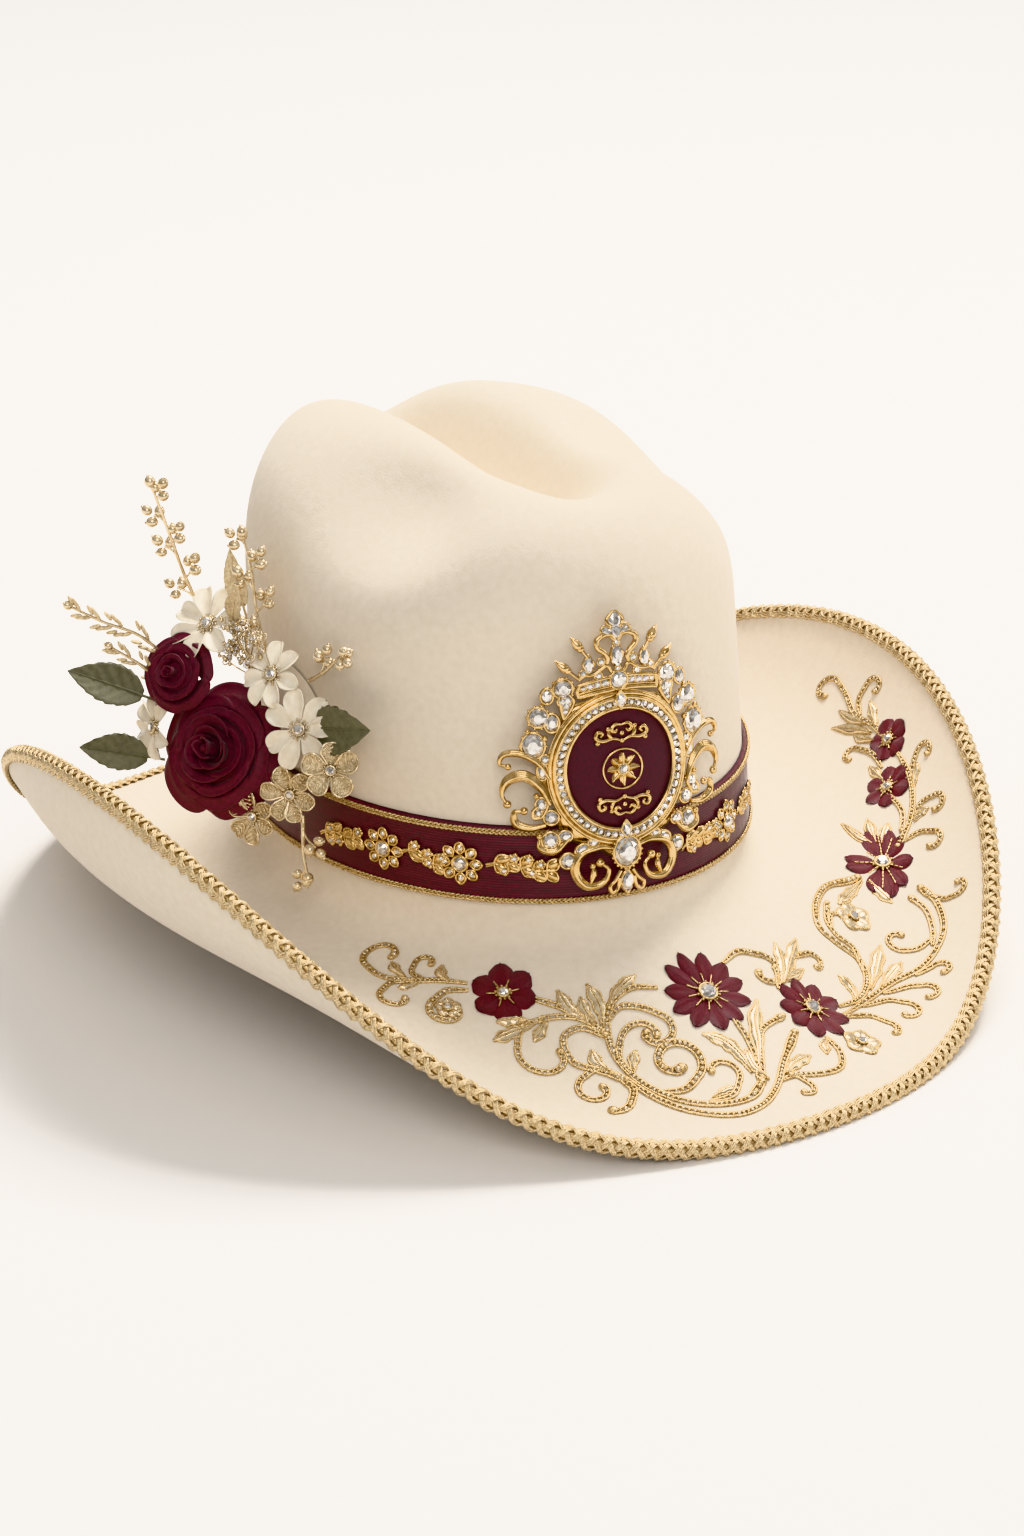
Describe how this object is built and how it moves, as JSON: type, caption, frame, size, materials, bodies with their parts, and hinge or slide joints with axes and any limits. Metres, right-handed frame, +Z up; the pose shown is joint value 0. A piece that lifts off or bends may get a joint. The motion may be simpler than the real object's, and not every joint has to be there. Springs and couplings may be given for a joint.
{
  "type": "sombrero",
  "caption": "Felt dress hat with a creased crown, side-rolled braided brim, sewn scrolls and flowers, burgundy band, crested oval medallion and a side corsage.",
  "frame": {"origin": "centre of the footprint, on the surface that the brim's front and back stand on", "axes": "+Z up towards the tip of the crown, -Y the way the wearer looks, -X the wearer's right, where the corsage is"},
  "size_m": [0.366, 0.4044, 0.2076],
  "materials": {
    "felt": "wool felt with a fine nap",
    "band_satin": "burgundy satin ribbon",
    "plaque_velvet": "burgundy velvet",
    "sweatband_leather": "smooth tan leather",
    "liner_satin": "ivory satin",
    "crystal": "cut crystal",
    "burgundy_thread": "burgundy satin stitch",
    "gold_thread": "metallic gold thread",
    "rose_fabric": "burgundy velvet petals",
    "cream_fabric": "cream silk petals",
    "champagne_leaf": "champagne fabric leaf",
    "olive_leaf": "olive fabric leaf",
    "gold_berry": "pale gold beads on wire",
    "gold_metal": "polished antique gold"
  },
  "bodies": {
    "root": {"band_cord_bottom": "gold_thread", "band_cord_top": "gold_thread", "band_flower_front": "gold_thread", "band_flower_left": "gold_thread", "band_flower_right": "gold_thread", "band_sprig_front": "gold_thread", "band_sprig_left": "gold_thread", "band_sprig_right": "gold_thread", "brim_braid": "gold_thread", "brim_flower_front": "burgundy_thread", "brim_flower_front_stone": "crystal", "brim_flower_left": "burgundy_thread", "brim_flower_left_back": "burgundy_thread", "brim_flower_left_front": "burgundy_thread", "brim_flower_left_front_stone": "crystal", "brim_flower_left_middle": "burgundy_thread", "brim_flower_left_stone": "crystal", "brim_flower_right": "burgundy_thread", "corsage_pad": "felt", "cream_flower_front": "cream_fabric", "cream_flower_top": "cream_fabric", "cream_flower_upper": "cream_fabric", "felt_body": "felt", "floret_left": "gold_thread", "floret_right": "gold_thread", "gold_flower_front": "gold_metal", "gold_flower_lower": "gold_metal", "gold_flower_middle": "gold_metal", "hat_band": "band_satin", "leaf_back_upper": "olive_leaf", "leaf_front": "olive_leaf", "leaf_top": "champagne_leaf", "medallion_backing": "gold_metal", "medallion_base_stone": "crystal", "medallion_plaque": "plaque_velvet", "medallion_rim": "gold_metal", "medallion_rim_stones": "crystal", "medallion_tiara": "gold_metal", "plaque_leaves_lower": "gold_metal", "plaque_leaves_upper": "gold_metal", "plaque_rosette": "gold_metal", "rose_large": "rose_fabric", "rose_small": "rose_fabric", "satin_liner": "liner_satin", "scroll_frame_base": "gold_metal", "scroll_frame_left": "gold_metal", "scroll_frame_right": "gold_metal", "spray_back": "gold_berry", "spray_front": "gold_berry", "spray_hanging": "gold_berry", "spray_upper": "gold_berry", "sweatband": "sweatband_leather", "sweatband_reed": "sweatband_leather", "tiara_finial": "crystal", "vine_front_left": "gold_thread", "vine_front_right": "gold_thread", "vine_left_back": "gold_thread", "vine_left_front": "gold_thread", "vine_right": "gold_thread"}
  },
  "joints": []
}
